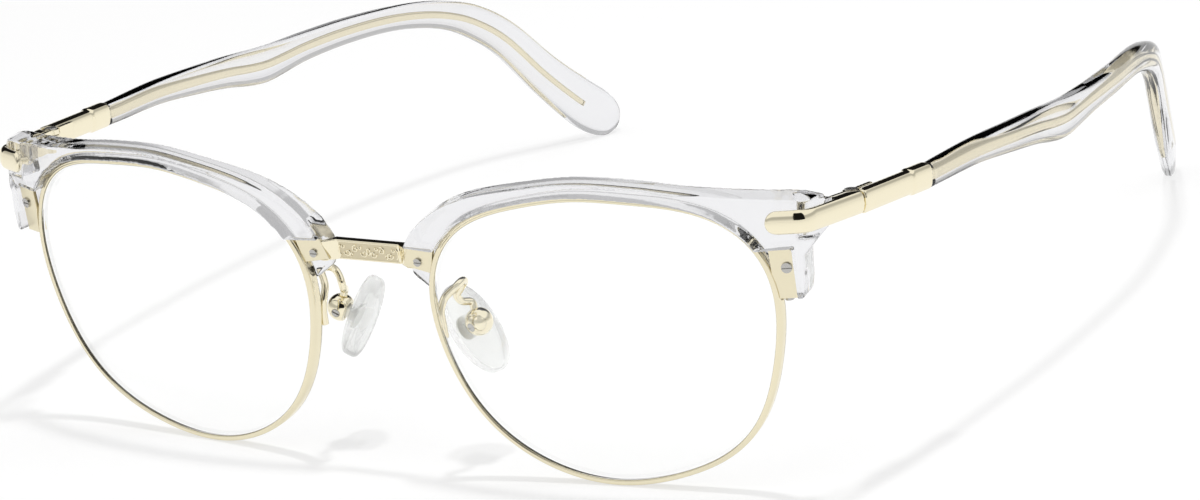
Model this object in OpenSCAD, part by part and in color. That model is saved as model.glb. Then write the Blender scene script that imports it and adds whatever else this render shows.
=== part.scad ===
// Browline glasses: clear brows over thin metal rims, spring-tempered pad arms and folding temples.
// Millimetres, +Z up, standing on the rims and the temple tips. Front is towards -Y.
// "left" is the wearer's left, which is +X. Each right piece mirrors its left one.

/* [Lens and rim] */
// Width of the lens opening
lens_w = 51; // [40:0.5:62]
// Height of the lens opening
lens_h = 42; // [34:0.5:51]
// Clear width between the two lens openings
bridge_w = 21.5; // [17:0.5:26]
// Radius of the lens curve
base_r = 95; // [80:1:140]
// Turn of each lens away from the flat front, in degrees
wrap = 7; // [3:0.5:9]
// Width of the rim wire, seen from the front
rim_w = 0.85; // [0.75:0.05:1.2]
// Depth of the rim wire, front to back
rim_d = 1.7; // [1.5:0.05:2.4]
// Depth of the lens groove in the rim wire
groove = 0.4; // [0.2:0.05:0.45]
// Thickness of a lens
lens_t = 1.3; // [1:0.1:1.4]

/* [Brow] */
// Height of the brow above the rim, over the middle of the lens
brow_h = 1.95; // [1.2:0.05:4]
// Extra height of the brow at its nasal end
brow_flare = 3.3; // [1:0.1:4]
// How far the brow stands in front of the rim
brow_front = 0.9; // [0.7:0.05:1.6]
// Radius of the brow's front face
brow_r = 110; // [95:1:200]

/* [Bridge] */
// Height of the engraved bridge bar
bridge_h = 3; // [2:0.1:4]
// Thickness of the bridge bar
bridge_t = 1; // [1:0.1:2]

/* [Endpiece and hinge] */
// Height of the metal cap and of the temple bar behind it
bar_h = 3.4; // [2.8:0.1:4.4]
// How far the metal cap stands proud of the brow
cap_proud = 1.15; // [0.8:0.05:1.6]
// Radius of a hinge knuckle
knuckle_r = 1.2; // [1.05:0.05:1.3]
// Radius of a hinge screw
hinge_screw_r = 0.6; // [0.4:0.05:0.7]
// Downward angle of the temple from the front's own axis, in degrees
drop = 11; // [8:0.5:14]
// Outward angle of the temple at the hinge, in degrees
splay = 4.5; // [2:0.5:7]

/* [Temple] */
// Length from the hinge to the end of the tip, along the temple's curve
temple_len = 145; // [120:1:175]
// Length of the metal bar between the hinge and the clear temple
bar_len = 16.3; // [14:0.5:22]
// Thickness of the clear temple
temple_t = 3.2; // [2.8:0.1:4.2]
// Thickness of the metal core inside the clear temple
core_t = 0.7; // [0.6:0.1:1.2]
// Height of the metal core at the collar
core_h = 1.4; // [1.4:0.1:2.2]

/* [Nose pads] */
// Length of a nose pad
pad_len = 14; // [11:0.5:16]
// Width of a nose pad
pad_w = 7.6; // [6:0.2:9]
// Thickness of a nose pad at its middle
pad_t = 3; // [1.8:0.1:3.2]
// Radius of the ball-shaped box that holds the pad's stem
box_r = 2; // [1.8:0.1:2.4]
// Radius of the pad arm's wire
arm_r = 0.55; // [0.4:0.05:0.7]

/* [Hidden] */
gold = "#d9cba3";
steel = "#b9b6ad";
clear = "#dfe4e888";
$fn = 48;

// Curves
// One point of the smooth curve between p1 and p2, t from 0 to 1
function curve_point(p0, p1, p2, p3, t) =
    0.5 * (2 * p1 + (p2 - p0) * t + (2 * p0 - 5 * p1 + 4 * p2 - p3) * t * t
        + (3 * p1 - p0 - 3 * p2 + p3) * t * t * t);
// A smooth open curve through the points p, with n steps between neighbours
function open_curve(p, n) = concat(
    [for (i = [0 : len(p) - 2]) for (k = [0 : n - 1])
        curve_point(p[max(i - 1, 0)], p[i], p[i + 1], p[min(i + 2, len(p) - 1)], k / n)],
    [p[len(p) - 1]]);
// An anticlockwise closed outline moved outwards by d
function grow(p, d) = [for (i = [0 : len(p) - 1])
    let (n = len(p), s = p[(i + 1) % n] - p[(i + n - 1) % n]) p[i] + d * [s[1], -s[0]] / norm(s)];
function column(p, k) = [for (q = p) q[k]];
function unit(v) = v / norm(v);

// Outline of the lens opening, seen from the front with x towards the temple and z up
outline_steps = 120;
function lens_radius(a) = 23.4 + 0.5 * cos(a) + 2.3 * cos(2 * a) + 0.3 * sin(2 * a)
    + sin(3 * a) - 0.35 * cos(4 * a) + 0.25 * sin(5 * a) - 0.15 * cos(5 * a) - 0.25 * cos(6 * a);
raw_outline = [for (i = [0 : outline_steps - 1])
    let (a = 360 * i / outline_steps) lens_radius(a) * [cos(a), sin(a)]];
raw_lo = [min(column(raw_outline, 0)), min(column(raw_outline, 1))];
raw_hi = [max(column(raw_outline, 0)), max(column(raw_outline, 1))];
outline_scale = [lens_w / (raw_hi[0] - raw_lo[0]), lens_h / (raw_hi[1] - raw_lo[1])];
opening = [for (q = raw_outline) let (m = q - (raw_lo + raw_hi) / 2)
    [m[0] * outline_scale[0], m[1] * outline_scale[1]]];
half_w = lens_w / 2;
half_h = lens_h / 2;

// Surfaces of the lens frame: y grows towards the wearer, and the rim's front face passes through 0
function sphere_y(r, x, z) = r - sqrt(r * r - x * x - z * z);
function rim_y(x, z) = sphere_y(base_r, x, z);
function brow_y(x, z) = sphere_y(brow_r, x, z) - brow_front;
nasal_y = rim_y(half_w, 0);
lens_x = bridge_w / 2 + half_w * cos(wrap) + nasal_y * sin(wrap);

// Clearances
fit = 0.05;
seat = 0.02;

// Places in the lens frame
plate_t = 0.6;
brow_back = 2;
pocket = plate_t + fit;
cap_z = half_h - 3.65;
corner_r = 2.2;
corner_from = -74;
corner_to = -15;
corner = [half_w + 4, brow_y(half_w + 4, cap_z) + 2.4];
corner_start = corner + corner_r * [cos(corner_from), sin(corner_from)];
front_dir = [-cos(corner_from + 90), -sin(corner_from + 90)];
side_dir = [cos(corner_to + 90), sin(corner_to + 90)];
side_out = [cos(corner_to), sin(corner_to)];
block_depth = 5;
side_end = corner + corner_r * side_out + block_depth * side_dir;
seam_len = 5.5;
bar_t = cap_proud + 1.2;
hinge_plan = side_end + seam_len * side_dir - (bar_t - cap_proud) * side_out;
cap_front_len = 4.2;

// Lock plate and rim blocks at the temporal side
lock_turn = 11;
lock_w = 3.2;
lock_h = 7.2;
lock_at = [half_w + 1.8, rim_y(half_w + 1.6, 9.6) - 0.2, half_h - 10.7];
lock_screw_at = [0.6, 0, 0.9];
tab_low = half_h - 14.2;
tab_x = half_w + 5;
split_z = half_h - 13;
block_h = 1.6;
block_w = 2.4;
block_t = 1.8;
rim_screw_r = 0.4;
rim_screw_head = 0.4;
block_screw_at = [0, plate_t + block_t / 2];

// Nasal plate and bridge, in the front's own x and z
nasal_half = bridge_w / 2;
nasal_at = [nasal_half - 2.05, 1.2, half_h - 10.5];
nasal_plate_outline = [[-1.4, 2.25], [-2.5, -0.75], [1.8, -1.55], [3.4, -1.55], [3.4, -0.9],
    [2.2, -0.4], [2.9, 2.25]];
bridge_x = nasal_half - 5.5;
bridge_y = nasal_at[1] + 1;
bridge_z = half_h - 10.1;
plate_screw_r = 0.45;
plate_screw_len = 1.8;
plate_head_h = 0.25;
nasal_head_r = 0.6;
lock_head_r = 0.75;

// Endpiece pins and hinge
pin_r = 0.55;
pin_len = 3;
pin_at = [0.9, 2.8];
seam_gap = 0.08;
knuckle_gap = 0.1;
knuckle_h = 1.2;
outer_knuckle_h = 0.8;
hinge_run = 0.05;
leaf_t = 0.6;
leaf_len = 4.2;

// Pad arm, box and pad
nasal_back = (rim_y(half_w + rim_w / 2, 0) + rim_d) * cos(wrap) - (half_w + rim_w / 2) * sin(wrap);
box_at = [nasal_half + 1.05, nasal_back + 6.9, -1.75];
pad_lean = 28;
pad_toe = 7;
pad_off = [1.4, -0.8];
pad_gap = 0.5;
pad_x = -(box_r * 0.55 + pad_gap + pad_t / 2);
stem_t = 1.2;
stem_r = 0.8;
pad_screw_r = 0.35;
pad_head_r = 0.6;

// The temple's own shape in the hinge frame: y, z, height, x and thickness
collar_len = 4.5;
collar_h = bar_h + 0.4;
collar_t = bar_t + 0.4;
collar_wall = 0.35;
collar_x = bar_t / 2 + 0.1;
temple_start = bar_len - collar_len + 0.8;
inner_h = collar_h - 2 * collar_wall - 2 * fit;
inner_t = collar_t - 2 * collar_wall - 2 * fit;
function stretch(y) = y + (temple_len - 145) * min(1, max(0, (y - 30) / 56));
function row(y, z, h, x, t) = [stretch(y), z, h, x, t * temple_t / 3.2];
temple_rows = concat([
    [bar_len + 0.4, -0.1, inner_h + 0.45, collar_x, inner_t + 0.55],
    [bar_len + 4, 0.05, inner_h + 0.6, collar_x - 0.25, inner_t + 0.8]], [
    row(30, 0.4, 3.8, 0.55, 3), row(40, 0.1, 4.4, -0.1, 3.1), row(48, -0.3, 5, -0.9, 3.2),
    row(54, -0.85, 5.7, -1.6, 3.2), row(58, -1, 5.8, -2.1, 3.2), row(62, -0.7, 5.3, -2.7, 3.2),
    row(68, -0.15, 4.6, -3.6, 3.2), row(77, 0.3, 4.2, -5.4, 3.2), row(86, 0.4, 4, -7.9, 3.2),
    row(93, -0.1, 4.3, -10.2, 3.2), row(99, -1.3, 4.8, -12.3, 3.2),
    row(104, -3.3, 5.6, -14.4, 3.1), row(109.5, -7.2, 6.1, -17, 3.1),
    row(116.5, -14.6, 6.9, -20.2, 3), row(122.5, -20.2, 7.8, -23, 2.9),
    row(126, -23, 7.6, -24.8, 2.6), row(128.3, -24.8, 5.4, -26, 2),
    row(129.2, -25.5, 2, -26.5, 1)]);
temple_curve = open_curve(temple_rows, 2);
function place(r) = [r[3], r[0], r[1]];
// One closed section across a path: p before, at and after, height h, thickness t
function section(a, b, c, h, t, steps, power) =
    let (along = unit(c - a), out = unit([along[1], -along[0], 0]), up = cross(out, along))
    [for (k = [0 : steps - 1])
        let (w = 360 * k / steps, cw = cos(w), sw = sin(w))
        b + out * t / 2 * sign(cw) * pow(abs(cw), power) + up * h / 2 * sign(sw) * pow(abs(sw), power)];
function temple_section(i, h, t, steps, power) = section(
    place(temple_curve[max(i - 1, 0)]), place(temple_curve[i]),
    place(temple_curve[min(i + 1, len(temple_curve) - 1)]), h, t, steps, power);

// Where the hinge and the temple lie in the front's own frame
hinge_lens = [hinge_plan[0], corner[1] + (hinge_plan[1] - corner[1]) * cos(drop),
    cap_z - (hinge_plan[1] - corner[1]) * sin(drop)];
hinge_front = [lens_x + hinge_lens[0] * cos(wrap) - hinge_lens[1] * sin(wrap),
    hinge_lens[0] * sin(wrap) + hinge_lens[1] * cos(wrap), hinge_lens[2]];
function hinge_to_front(p) =
    let (y = p[1] * cos(splay) - p[0] * sin(splay))
    hinge_front + [p[0] * cos(splay) + p[1] * sin(splay), y * cos(drop) + p[2] * sin(drop),
        p[2] * cos(drop) - y * sin(drop)];

// Leans the front so that the rims and the temple tips share one floor, and centres the glasses on it
temple_skin = [for (i = [floor(len(temple_curve) * 0.6) : len(temple_curve) - 1])
    for (q = temple_section(i, temple_curve[i][2], temple_curve[i][4], 16, 0.75)) hinge_to_front(q)];
rim_low = [rim_y(0, half_h) * cos(wrap), -half_h - rim_w];
lean = max([for (q = temple_skin) atan2(rim_low[1] - q[2], q[1] - rim_low[0])]);
floor_z = rim_low[0] * sin(lean) + rim_low[1] * cos(lean);
back_y = max([for (q = temple_skin) q[1] * cos(lean) - q[2] * sin(lean)]);
front_y = -1.75 - (half_h - 21) * sin(lean);
mid_y = (front_y + back_y) / 2;

// Placing
// Places the lens frame on the left of the front
module at_lens() translate([lens_x, 0, 0]) rotate([0, 0, wrap]) children();
// From the front's frame into the left lens frame
module to_lens() rotate([0, 0, -wrap]) translate([-lens_x, 0, 0]) children();
// The endpiece's frame inside the lens frame: it slopes down towards the temple
module at_end() translate([0, corner[1], cap_z]) rotate([-drop, 0, 0]) translate([0, -corner[1], 0])
    children();
// The temple's frame at the left hinge: y along the temple, x outwards, z along the hinge screw
module at_hinge() translate(hinge_front) rotate([-drop, 0, 0]) rotate([0, 0, -splay]) children();
module lock_frame() translate(lock_at) rotate([0, 0, lock_turn]) children();
module nasal_frame() translate(nasal_at) children();
module at_pad() translate(box_at) rotate([0, -pad_lean, 0]) rotate([0, 0, -pad_toe]) children();
module left() translate([0, -mid_y, -floor_z]) rotate([lean, 0, 0]) children();
module right() left() mirror([1, 0, 0]) children();

// Shapes
// Raises an x-z outline into a wall from y0 to y1
module wall(p, y0, y1) translate([0, y1, 0]) rotate([90, 0, 0]) linear_extrude(y1 - y0) polygon(p);
module plan(p, z0, z1) translate([0, 0, z0]) linear_extrude(z1 - z0) polygon(p);
// The space between two depths behind the rim's front face
module rim_shell(d0, d1) translate([0, base_r, 0]) difference() {
    sphere(r = base_r - d0, $fn = 200);
    sphere(r = base_r - d1, $fn = 200);
}
wall_y0 = -6;
wall_y1 = 20;
module rim_prism(d) wall(grow(opening, d), wall_y0, wall_y1);
// A closed skin over a list of sections with the same number of points
module skin(loops) {
    m = len(loops[0]);
    n = len(loops);
    polyhedron([for (s = loops) for (q = s) q], concat(
        [for (i = [0 : n - 2]) for (j = [0 : m - 1])
            [i * m + j, (i + 1) * m + j, (i + 1) * m + (j + 1) % m]],
        [for (i = [0 : n - 2]) for (j = [0 : m - 1])
            [i * m + j, (i + 1) * m + (j + 1) % m, i * m + (j + 1) % m]],
        [for (j = [1 : m - 2]) [0, j, j + 1]],
        [for (j = [1 : m - 2]) [(n - 1) * m, (n - 1) * m + j + 1, (n - 1) * m + j]]));
}
// A closed skin with a blind hole along it, both over lists of sections that start in one plane
module tube(outer, inner) {
    m = len(outer[0]);
    n = len(outer);
    n2 = len(inner);
    at = n * m;
    polyhedron(concat([for (s = outer) for (q = s) q], [for (s = inner) for (q = s) q]), concat(
        [for (i = [0 : n - 2]) for (j = [0 : m - 1])
            [i * m + j, (i + 1) * m + j, (i + 1) * m + (j + 1) % m]],
        [for (i = [0 : n - 2]) for (j = [0 : m - 1])
            [i * m + j, (i + 1) * m + (j + 1) % m, i * m + (j + 1) % m]],
        [for (j = [1 : m - 2]) [(n - 1) * m, (n - 1) * m + j + 1, (n - 1) * m + j]],
        [for (i = [0 : n2 - 2]) for (j = [0 : m - 1])
            [at + i * m + j, at + (i + 1) * m + (j + 1) % m, at + (i + 1) * m + j]],
        [for (i = [0 : n2 - 2]) for (j = [0 : m - 1])
            [at + i * m + j, at + i * m + (j + 1) % m, at + (i + 1) * m + (j + 1) % m]],
        [for (j = [1 : m - 2]) [at + (n2 - 1) * m, at + (n2 - 1) * m + j, at + (n2 - 1) * m + j + 1]],
        [for (j = [0 : m - 1]) [j, (j + 1) % m, at + j]],
        [for (j = [0 : m - 1]) [(j + 1) % m, at + (j + 1) % m, at + j]]));
}
// A screw along +y from its seat, with its head standing in front of the seat
module screw(r, len, head_r, head_h) rotate([-90, 0, 0]) difference() {
    union() {
        cylinder(r = r, h = len);
        translate([0, 0, -head_h]) cylinder(r = head_r, h = head_h);
    }
    translate([-head_r, -0.11, -head_h - 0.01]) cube([2 * head_r, 0.22, head_h * 0.6]);
}
module bore(r, len) rotate([-90, 0, 0]) cylinder(r = r, h = 2 * len, center = true);

// Rims and lenses
lens_front = 0.2;
tongue = [0.35, 0.7];
module rim() color(gold) at_lens() difference() {
    intersection() {
        rim_prism(rim_w);
        rim_shell(0, rim_d);
    }
    rim_prism(0);
    intersection() {
        rim_prism(groove);
        rim_shell(lens_front + tongue[0] - fit, lens_front + tongue[0] + tongue[1] + fit);
    }
    translate([half_w - 4, wall_y0, split_z - fit]) cube([8, wall_y1 - wall_y0, 2 * fit]);
}
module lens() color("#eef4f655") at_lens() union() {
    intersection() {
        rim_prism(-fit);
        rim_shell(lens_front, lens_front + lens_t);
    }
    intersection() {
        rim_prism(groove - fit);
        rim_shell(lens_front + tongue[0], lens_front + tongue[0] + tongue[1]);
    }
}

// Brows
function outline_at(a, d) = grow(opening, d)[round(a / 360 * outline_steps)];
function brow_top_d(a) = rim_w + brow_h + brow_flare * pow(max(0, a - 90) / 70, 3);
brow_top = open_curve(concat(
    [[side_end[0] + 0.6, half_h - 1.9], [half_w + 4.8, half_h - 0.6], [half_w, half_h]],
    [for (a = [54 : 9 : 153]) outline_at(a, brow_top_d(a))],
    [[-half_w - 4.1, half_h - 9.2]]), 2);
brow_end = [[tab_x + 0.1, half_h - 8.2], [half_w + 6.6, half_h - 6.4], [side_end[0] - 0.4, half_h - 6],
    [side_end[0] + 0.6, half_h - 6]];
front_low = nasal_at[2] + 2.25;
lock_top = lock_at[2] + lock_h / 2 + fit;
brow_front_outline = concat(brow_top, [
    [-half_w - 3, front_low - 1.2], [-half_w + 4, front_low - 1.2],
    [-half_w + 10, 0], [half_w - 10, 0], [half_w - 1, lock_top], [half_w + 3.4, lock_top],
    [half_w + 3.4, tab_low + 0.2], [half_w + 4.4, tab_low + 0.1], [tab_x - 0.3, tab_low + 0.9],
    [tab_x, tab_low + 2.6]], brow_end);
brow_back_outline = concat(brow_top, [
    [-half_w - 4.2, half_h - 11], [-half_w - 3.6, half_h - 12.8], [-half_w - 1.2, half_h - 14.6],
    [-half_w + 2, half_h - 14.4], [-half_w + 10, 0], [half_w - 10, 0], [half_w - 1, tab_low],
    [half_w + 4.2, tab_low], [tab_x - 0.3, tab_low + 0.9], [tab_x, tab_low + 2.6]], brow_end);
block_top = 2;
corner_steps = 10;
function corner_arc(r) = [for (i = [0 : corner_steps])
    let (a = corner_from + (corner_to - corner_from) * i / corner_steps)
    corner + r * [cos(a), sin(a)]];
block_back = [side_end + 3.4 * [-side_dir[1], side_dir[0]], [half_w + 3, corner[1] + 1.2],
    [half_w - 3, corner[1] - 0.8]];
block_plan = concat([[half_w - 3, -3], [corner_start[0], -3]], corner_arc(corner_r - seat), [side_end],
    block_back);
trim_plan = concat([[-60, -6], [corner_start[0], -6]], corner_arc(corner_r - seat), [side_end],
    [block_back[0], [half_w - 2, wall_y1], [-60, wall_y1]]);
tab_plan = [[-60, -6], [tab_x + 0.1, -6], [tab_x + 0.1, lock_at[1] - 0.6], [tab_x - 0.9, lock_at[1] + 4],
    [half_w - 2, wall_y1], [-60, wall_y1]];
module brow_ball() translate([0, brow_r - brow_front, 0]) sphere(r = brow_r, $fn = 200);
module brow_trim() union() {
    at_end() plan(trim_plan, -10, 8);
    plan(tab_plan, -half_h, half_h - 7.5);
}
module brow() color(clear) at_lens() difference() {
    union() {
        difference() {
            intersection() {
                union() {
                    intersection() {
                        wall(brow_front_outline, wall_y0, wall_y1);
                        brow_ball();
                    }
                    intersection() {
                        wall(brow_back_outline, wall_y0, wall_y1);
                        translate([0, base_r, 0]) sphere(r = base_r - pocket, $fn = 200);
                    }
                }
                brow_trim();
            }
            translate([0, base_r, 0]) sphere(r = base_r - brow_back, $fn = 200);
        }
        intersection() {
            wall(brow_front_outline, wall_y0, wall_y1);
            at_end() plan(block_plan, -3, block_top);
            brow_ball();
        }
    }
    rim_prism(rim_w + fit);
    lock_frame() translate([-lock_w / 2 - 2, -3, -lock_h / 2 - 4])
        cube([lock_w + 2 + fit, 3 + plate_t + fit, lock_h + 4 + fit]);
    lock_frame() translate([-4, -1, -lock_h / 2 - 4])
        cube([4 + block_w / 2 + 0.1, 8, split_z + block_h + 0.15 - lock_at[2] + lock_h / 2 + 4]);
    lock_frame() translate(lock_screw_at) bore(plate_screw_r + seat, plate_screw_len + fit);
    to_lens() nasal_frame() bore(plate_screw_r + seat, plate_screw_len + fit);
    to_lens() nasal_frame() translate([-5, -4, -7]) cube([10, 4 + plate_t + fit, 9.25 + fit]);
    to_lens() plan(bridge_plan(fit), half_h - 14, bridge_z + bridge_h / 2 + fit);
    at_end() pins(pin_r + seat, pin_len + fit);
}

// Bridge and nasal plates
function bridge_plan(g) = [
    [-nasal_at[0] + 1, nasal_at[1] - g], [-bridge_x - 1.6, nasal_at[1] - g], [-bridge_x, bridge_y - g],
    [bridge_x, bridge_y - g], [bridge_x + 1.6, nasal_at[1] - g], [nasal_at[0] - 1, nasal_at[1] - g],
    [nasal_at[0] - 1, nasal_at[1] + plate_t + g], [bridge_x + 1.9, nasal_at[1] + plate_t + g],
    [bridge_x + 0.5 + g, bridge_y + bridge_t + g], [-bridge_x - 0.5 - g, bridge_y + bridge_t + g],
    [-bridge_x - 1.9, nasal_at[1] + plate_t + g], [-nasal_at[0] + 1, nasal_at[1] + plate_t + g]];
module bridge() color(gold) difference() {
    plan(bridge_plan(0), bridge_z - bridge_h / 2, bridge_z + bridge_h / 2);
    nasal_frame() wall(nasal_plate_outline, -3, 6);
    mirror([1, 0, 0]) nasal_frame() wall(nasal_plate_outline, -3, 6);
}
module nasal_plate() color(gold) difference() {
    nasal_frame() wall(nasal_plate_outline, 0, plate_t);
    nasal_frame() bore(plate_screw_r + seat, 2);
    at_lens() rim_prism(rim_w);
}
module nasal_screw() color(steel) nasal_frame()
    screw(plate_screw_r, plate_screw_len, nasal_head_r, plate_head_h);

// Lock plates, and the blocks that close the rim round its lens
module lock_plate() color(gold) at_lens() difference() {
    lock_frame() translate([-lock_w / 2, 0, -lock_h / 2]) cube([lock_w, plate_t, lock_h]);
    lock_frame() translate(lock_screw_at) bore(plate_screw_r + seat, 2);
    rim_prism(rim_w);
}
module lock_screw() color(steel) at_lens() lock_frame() translate(lock_screw_at)
    screw(plate_screw_r, plate_screw_len, lock_head_r, plate_head_h);
module rim_block(z0, y0) color(gold) at_lens() difference() {
    lock_frame() translate([-4, y0, z0 - lock_at[2]])
        cube([4 + block_w / 2, plate_t + block_t - y0, block_h]);
    lock_frame() translate([block_screw_at[0], block_screw_at[1], z0 - lock_at[2] - 1])
        cylinder(r = rim_screw_r + seat, h = block_h + 2);
    rim_prism(rim_w);
}
module rim_screw() color(steel) at_lens() lock_frame()
    translate([block_screw_at[0], block_screw_at[1], split_z - fit - block_h - lock_at[2]])
    rotate([90, 0, 0]) screw(rim_screw_r, 2 * block_h - 0.1, rim_screw_r + 0.25, rim_screw_head);

// Metal caps over the endpieces
cap_steps = 20;
function cap_half(lo, hi, h) = [for (i = [0 : cap_steps])
    let (a = -90 + 180 * i / cap_steps)
    [lo + (hi - lo) * pow(max(0, cos(a)), 0.7), h * sin(a)]];
// The section from its inner face outwards, smaller by d where a run enters the corner
module cap_section(inner, d = 0) polygon(concat(
    [[inner, bar_h / 2 * 0.97 - d], [inner, -bar_h / 2 * 0.97 + d]],
    cap_half(max(seat, inner), cap_proud - d, bar_h / 2 - d)));
// The ends of the cap's corner: x outwards, y away from the corner's start, z up
module corner_end(angle) translate([corner[0], corner[1], 0]) rotate([0, 0, angle])
    translate([corner_r, 0, 0]) children();
// A straight length of the cap's section, from y back towards the front
module cap_run(y, len, inner, d = 0) translate([0, y, 0]) rotate([90, 0, 0])
    linear_extrude(len) cap_section(inner, d);
function shift(p, d, v) = [p[0] + d * v[0], p[1] + d * v[1]];
module cap() color(gold) difference() {
    at_lens() at_end() union() {
        corner_end(corner_from) intersection() {
            cap_run(0, cap_front_len, 2 * fit);
            translate([0, bar_h / 2 - cap_front_len, 0]) rotate([0, 0, 90]) rotate([90, 0, 0])
                linear_extrude(12, center = true) union() {
                circle(r = bar_h / 2);
                translate([0, -bar_h / 2]) square([cap_front_len, bar_h]);
            }
        }
        translate([corner[0], corner[1], 0]) rotate([0, 0, corner_from])
            rotate_extrude(angle = corner_to - corner_from, $fn = 96)
            translate([corner_r, 0]) cap_section(seat);
        corner_end(corner_to) cap_run(block_depth + 2 * fit, block_depth + 4 * fit, 2 * seat, seat);
        corner_end(corner_to) cap_run(block_depth + seam_len + 2, seam_len + 2 - fit,
            cap_proud - bar_t, seat);
    }
    at_hinge() cylinder(r = knuckle_r + knuckle_gap, h = 12, center = true);
    at_hinge() translate([-9, -seam_gap / 2, -6]) cube([18, 9, 12]);
}
module pins(r, len) for (d = pin_at)
    translate(concat(shift(corner_start, d, front_dir), [0])) rotate([0, 0, corner_from + 90])
    rotate([-90, 0, 0]) cylinder(r = r, h = len);
module cap_pins() color(gold) at_lens() at_end() pins(pin_r, pin_len);

// Hinges: two front knuckles, one temple knuckle and the screw through them
side_lead = -corner_to - wrap - splay;
knuckle_mid = knuckle_h / 2 + knuckle_gap;
module front_hinge() color(gold) at_hinge() difference() {
    union() {
        for (s = [0, 1]) mirror([0, 0, s]) translate([0, 0, knuckle_mid])
            cylinder(r = knuckle_r, h = outer_knuckle_h);
        rotate([0, 0, -side_lead]) translate([-leaf_t - 0.05, -leaf_len, -bar_h / 2 + 0.2])
            cube([leaf_t, leaf_len, bar_h - 0.4]);
    }
    cylinder(r = knuckle_r + knuckle_gap, h = 2 * knuckle_mid, center = true);
    cylinder(r = hinge_screw_r + seat, h = 12, center = true);
}
module hinge_screw() color(steel) at_hinge() translate([0, 0, knuckle_mid + outer_knuckle_h])
    rotate([-90, 0, 0]) screw(hinge_screw_r, 2 * (knuckle_mid + outer_knuckle_h) - 0.1,
        hinge_screw_r + 0.3, 0.2);
module temple_hinge() color(gold) at_hinge() difference() {
    union() {
        cylinder(r = knuckle_r, h = knuckle_h, center = true);
        translate([-leaf_t, 0, -knuckle_h / 2]) cube([leaf_t + 0.08, leaf_len + 1, knuckle_h]);
        translate([-leaf_t, knuckle_r + 0.25, -bar_h / 2 + 0.2])
            cube([leaf_t + 0.08, leaf_len - knuckle_r + 0.75, bar_h - 0.4]);
    }
    cylinder(r = hinge_screw_r + hinge_run, h = 12, center = true);
}

// Metal bars and collars at the front of the temples
module bar_section(x0, x1, h) polygon([for (i = [0 : 23])
    let (a = 15 * i, c = cos(a), s = sin(a))
    [(x0 + x1) / 2 + (x1 - x0) / 2 * sign(c) * pow(abs(c), 0.6), h / 2 * sign(s) * pow(abs(s), 0.75)]]);
module along(y0, y1) translate([0, y1, 0]) rotate([90, 0, 0]) linear_extrude(y1 - y0) children();
module temple_bar() color(gold) at_hinge() difference() {
    union() {
        along(seam_gap / 2, bar_len - collar_len + 0.01) bar_section(0.1, bar_t + 0.1, bar_h);
        along(bar_len - collar_len, bar_len)
            bar_section(collar_x - collar_t / 2, collar_x + collar_t / 2, collar_h);
    }
    cylinder(r = knuckle_r + knuckle_gap, h = 12, center = true);
    along(temple_start - fit, bar_len + 1)
        bar_section(collar_x - inner_t / 2 - fit, collar_x + inner_t / 2 + fit, inner_h + 2 * fit);
}

// Clear temples with their metal cores
core_last = len(temple_curve) - 6;
function core_height(i) = core_h + (0.9 - core_h) * i / core_last;
function plug_section(y, h, t, steps, power) = section([collar_x, y - 1, 0], [collar_x, y, 0],
    [collar_x, y + 1, 0], h, t, steps, power);
function core_sections(g, steps) = concat(
    [plug_section(temple_start - (g > 0 ? 0 : 0.04), core_h + g, core_t + g, steps, 0.4)],
    [for (i = [1 : core_last]) temple_section(i, core_height(i) + g, core_t + g, steps, 0.4)]);
module temple() color(clear) at_hinge() tube(concat(
    [for (y = [temple_start, bar_len + 0.1]) plug_section(y, inner_h, inner_t, 16, 0.75)],
    [for (i = [0 : len(temple_curve) - 1])
        temple_section(i, temple_curve[i][2], temple_curve[i][4], 16, 0.75)]),
    core_sections(2 * seat, 16));
module temple_core() color(gold) at_hinge() skin(core_sections(0, 8));

// Nose pads and the arms that carry them
function arm_point(x, y, z) = [nasal_half + x, nasal_back + y, z];
arm_end = unit([-0.35, 0.15, 1]);
arm_path = open_curve([
    arm_point(-0.45, arm_r + fit, -1.3), arm_point(-0.5, arm_r + 2 * fit, 0.6), arm_point(-0.7, 1, 2.3),
    arm_point(-0.6, 2, 3.7), arm_point(0, 2.8, 4.5), arm_point(0.7, 3.5, 5.1),
    arm_point(0.95, 4.2, 5.4), arm_point(0.85, 5, 5.35), arm_point(0.6, 5.8, 5),
    arm_point(0.2, 6.2, 4.4), arm_point(-0.4, 6, 3.6), arm_point(-0.9, 5.6, 2.7),
    arm_point(-0.6, 6.1, 1.6), box_at + (box_r + 0.9) * arm_end, box_at + (box_r - 0.06) * arm_end], 3);
function wire_section(a, b, c, r) =
    let (along = unit(c - a), out = unit(cross(along, [1, 0, 0])), up = cross(out, along))
    [for (k = [0 : 11]) b + r * (out * cos(30 * k) + up * sin(30 * k))];
arm_last = len(arm_path) - 1;
module pad_arm() color(gold) skin([for (i = [0 : arm_last])
    wire_section(arm_path[max(i - 1, 0)], arm_path[i], arm_path[min(i + 1, arm_last)], arm_r)]);
module pad_box() color(gold) difference() {
    at_pad() sphere(r = box_r, $fn = 64);
    at_pad() translate([-box_r * 1.55, -3, -3]) cube([box_r, 6, 6]);
    at_pad() translate([-3, -stem_t / 2 - 0.1, -stem_r - 0.35]) cube([3, stem_t + 0.2, 2 * stem_r + 0.7]);
    at_pad() bore_y(stem_r + 0.15, stem_t + 0.2, 0);
    at_pad() bore_y(pad_screw_r + seat, 6, 0);
    at_pad() bore_y(pad_head_r + seat, 2, -box_r - 0.6);
    translate(box_at + (box_r - 0.2) * arm_end) rotate([0, atan2(arm_end[0], arm_end[2]), 0])
        cylinder(r = arm_r + 0.2, h = 1);
}
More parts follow.
